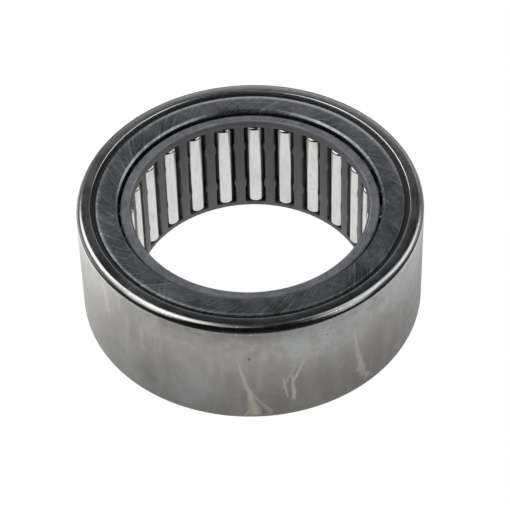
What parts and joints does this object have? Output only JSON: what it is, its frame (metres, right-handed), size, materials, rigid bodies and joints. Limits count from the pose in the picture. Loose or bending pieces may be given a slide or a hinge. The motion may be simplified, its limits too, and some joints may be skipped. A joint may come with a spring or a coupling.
{
  "type": "needle roller bearing",
  "caption": "Aligning needle roller bearing without an inner ring: a ball-shaped outer ring with caged needles swivels in a drawn steel cup.",
  "frame": {"origin": "middle of the bearing, on its axis, which is also the centre of the spherical seat", "axes": "+Z along the bearing axis; +X passes through the middle of a bar of the cage, half way between two needles"},
  "size_m": [0.052, 0.052, 0.02],
  "materials": {
    "drawn_steel": "bright drawn sheet steel, lightly oiled",
    "seat_plastic": "moulded, dark",
    "ring_steel": "hardened and ground bearing steel",
    "cage_plastic": "moulded glass-filled plastic, dark grey",
    "needle_steel": "hardened and polished bearing steel"
  },
  "bodies": {
    "cup": {"drawn_cup": "drawn_steel"},
    "seat": {"support_ring_upper": "seat_plastic", "support_ring_lower": "seat_plastic"},
    "outer_ring": {"outer_ring": "ring_steel"},
    "cage": {"cage": "cage_plastic"},
    "needle_01": {"needle_01": "needle_steel"},
    "needle_02": {"needle_02": "needle_steel"},
    "needle_03": {"needle_03": "needle_steel"},
    "needle_04": {"needle_04": "needle_steel"},
    "needle_05": {"needle_05": "needle_steel"},
    "needle_06": {"needle_06": "needle_steel"},
    "needle_07": {"needle_07": "needle_steel"},
    "needle_08": {"needle_08": "needle_steel"},
    "needle_09": {"needle_09": "needle_steel"},
    "needle_10": {"needle_10": "needle_steel"},
    "needle_11": {"needle_11": "needle_steel"},
    "needle_12": {"needle_12": "needle_steel"},
    "needle_13": {"needle_13": "needle_steel"},
    "needle_14": {"needle_14": "needle_steel"},
    "needle_15": {"needle_15": "needle_steel"},
    "needle_16": {"needle_16": "needle_steel"},
    "needle_17": {"needle_17": "needle_steel"},
    "needle_18": {"needle_18": "needle_steel"},
    "needle_19": {"needle_19": "needle_steel"},
    "needle_20": {"needle_20": "needle_steel"},
    "needle_21": {"needle_21": "needle_steel"},
    "needle_22": {"needle_22": "needle_steel"},
    "needle_23": {"needle_23": "needle_steel"},
    "needle_24": {"needle_24": "needle_steel"}
  },
  "joints": [
    {"name": "seat_swivel", "type": "hinge", "parent": "cup", "child": "seat", "pos_m": [0, 0, 0], "axis": [0, 0, 1], "continuous": true},
    {"name": "alignment_tilt", "type": "hinge", "parent": "seat", "child": "outer_ring", "pos_m": [0, 0, 0], "axis": [1, 0, 0], "range_deg": [-3, 3]},
    {"name": "cage_spin", "type": "hinge", "parent": "outer_ring", "child": "cage", "pos_m": [0, 0, 0], "axis": [0, 0, 1], "continuous": true},
    {"name": "needle_01_roll", "type": "hinge", "parent": "cage", "child": "needle_01", "pos_m": [0.01885, 0.00248, 0], "axis": [0, 0, 1], "continuous": true},
    {"name": "needle_02_roll", "type": "hinge", "parent": "cage", "child": "needle_02", "pos_m": [0.01756, 0.00727, 0], "axis": [0, 0, 1], "continuous": true},
    {"name": "needle_03_roll", "type": "hinge", "parent": "cage", "child": "needle_03", "pos_m": [0.01508, 0.01157, 0], "axis": [0, 0, 1], "continuous": true},
    {"name": "needle_04_roll", "type": "hinge", "parent": "cage", "child": "needle_04", "pos_m": [0.01157, 0.01508, 0], "axis": [0, 0, 1], "continuous": true},
    {"name": "needle_05_roll", "type": "hinge", "parent": "cage", "child": "needle_05", "pos_m": [0.00727, 0.01756, 0], "axis": [0, 0, 1], "continuous": true},
    {"name": "needle_06_roll", "type": "hinge", "parent": "cage", "child": "needle_06", "pos_m": [0.00248, 0.01885, 0], "axis": [0, 0, 1], "continuous": true},
    {"name": "needle_07_roll", "type": "hinge", "parent": "cage", "child": "needle_07", "pos_m": [-0.00248, 0.01885, 0], "axis": [0, 0, 1], "continuous": true},
    {"name": "needle_08_roll", "type": "hinge", "parent": "cage", "child": "needle_08", "pos_m": [-0.00727, 0.01756, 0], "axis": [0, 0, 1], "continuous": true},
    {"name": "needle_09_roll", "type": "hinge", "parent": "cage", "child": "needle_09", "pos_m": [-0.01157, 0.01508, 0], "axis": [0, 0, 1], "continuous": true},
    {"name": "needle_10_roll", "type": "hinge", "parent": "cage", "child": "needle_10", "pos_m": [-0.01508, 0.01157, 0], "axis": [0, 0, 1], "continuous": true},
    {"name": "needle_11_roll", "type": "hinge", "parent": "cage", "child": "needle_11", "pos_m": [-0.01756, 0.00727, 0], "axis": [0, 0, 1], "continuous": true},
    {"name": "needle_12_roll", "type": "hinge", "parent": "cage", "child": "needle_12", "pos_m": [-0.01885, 0.00248, 0], "axis": [0, 0, 1], "continuous": true},
    {"name": "needle_13_roll", "type": "hinge", "parent": "cage", "child": "needle_13", "pos_m": [-0.01885, -0.00248, 0], "axis": [0, 0, 1], "continuous": true},
    {"name": "needle_14_roll", "type": "hinge", "parent": "cage", "child": "needle_14", "pos_m": [-0.01756, -0.00727, 0], "axis": [0, 0, 1], "continuous": true},
    {"name": "needle_15_roll", "type": "hinge", "parent": "cage", "child": "needle_15", "pos_m": [-0.01508, -0.01157, 0], "axis": [0, 0, 1], "continuous": true},
    {"name": "needle_16_roll", "type": "hinge", "parent": "cage", "child": "needle_16", "pos_m": [-0.01157, -0.01508, 0], "axis": [0, 0, 1], "continuous": true},
    {"name": "needle_17_roll", "type": "hinge", "parent": "cage", "child": "needle_17", "pos_m": [-0.00727, -0.01756, 0], "axis": [0, 0, 1], "continuous": true},
    {"name": "needle_18_roll", "type": "hinge", "parent": "cage", "child": "needle_18", "pos_m": [-0.00248, -0.01885, 0], "axis": [0, 0, 1], "continuous": true},
    {"name": "needle_19_roll", "type": "hinge", "parent": "cage", "child": "needle_19", "pos_m": [0.00248, -0.01885, 0], "axis": [0, 0, 1], "continuous": true},
    {"name": "needle_20_roll", "type": "hinge", "parent": "cage", "child": "needle_20", "pos_m": [0.00727, -0.01756, 0], "axis": [0, 0, 1], "continuous": true},
    {"name": "needle_21_roll", "type": "hinge", "parent": "cage", "child": "needle_21", "pos_m": [0.01157, -0.01508, 0], "axis": [0, 0, 1], "continuous": true},
    {"name": "needle_22_roll", "type": "hinge", "parent": "cage", "child": "needle_22", "pos_m": [0.01508, -0.01157, 0], "axis": [0, 0, 1], "continuous": true},
    {"name": "needle_23_roll", "type": "hinge", "parent": "cage", "child": "needle_23", "pos_m": [0.01756, -0.00727, 0], "axis": [0, 0, 1], "continuous": true},
    {"name": "needle_24_roll", "type": "hinge", "parent": "cage", "child": "needle_24", "pos_m": [0.01885, -0.00248, 0], "axis": [0, 0, 1], "continuous": true}
  ],
  "couplings": [
    {"joint": "needle_01_roll", "follows": "cage_spin", "ratio": -13.68},
    {"joint": "needle_02_roll", "follows": "cage_spin", "ratio": -13.68},
    {"joint": "needle_03_roll", "follows": "cage_spin", "ratio": -13.68},
    {"joint": "needle_04_roll", "follows": "cage_spin", "ratio": -13.68},
    {"joint": "needle_05_roll", "follows": "cage_spin", "ratio": -13.68},
    {"joint": "needle_06_roll", "follows": "cage_spin", "ratio": -13.68},
    {"joint": "needle_07_roll", "follows": "cage_spin", "ratio": -13.68},
    {"joint": "needle_08_roll", "follows": "cage_spin", "ratio": -13.68},
    {"joint": "needle_09_roll", "follows": "cage_spin", "ratio": -13.68},
    {"joint": "needle_10_roll", "follows": "cage_spin", "ratio": -13.68},
    {"joint": "needle_11_roll", "follows": "cage_spin", "ratio": -13.68},
    {"joint": "needle_12_roll", "follows": "cage_spin", "ratio": -13.68},
    {"joint": "needle_13_roll", "follows": "cage_spin", "ratio": -13.68},
    {"joint": "needle_14_roll", "follows": "cage_spin", "ratio": -13.68},
    {"joint": "needle_15_roll", "follows": "cage_spin", "ratio": -13.68},
    {"joint": "needle_16_roll", "follows": "cage_spin", "ratio": -13.68},
    {"joint": "needle_17_roll", "follows": "cage_spin", "ratio": -13.68},
    {"joint": "needle_18_roll", "follows": "cage_spin", "ratio": -13.68},
    {"joint": "needle_19_roll", "follows": "cage_spin", "ratio": -13.68},
    {"joint": "needle_20_roll", "follows": "cage_spin", "ratio": -13.68},
    {"joint": "needle_21_roll", "follows": "cage_spin", "ratio": -13.68},
    {"joint": "needle_22_roll", "follows": "cage_spin", "ratio": -13.68},
    {"joint": "needle_23_roll", "follows": "cage_spin", "ratio": -13.68},
    {"joint": "needle_24_roll", "follows": "cage_spin", "ratio": -13.68}
  ]
}
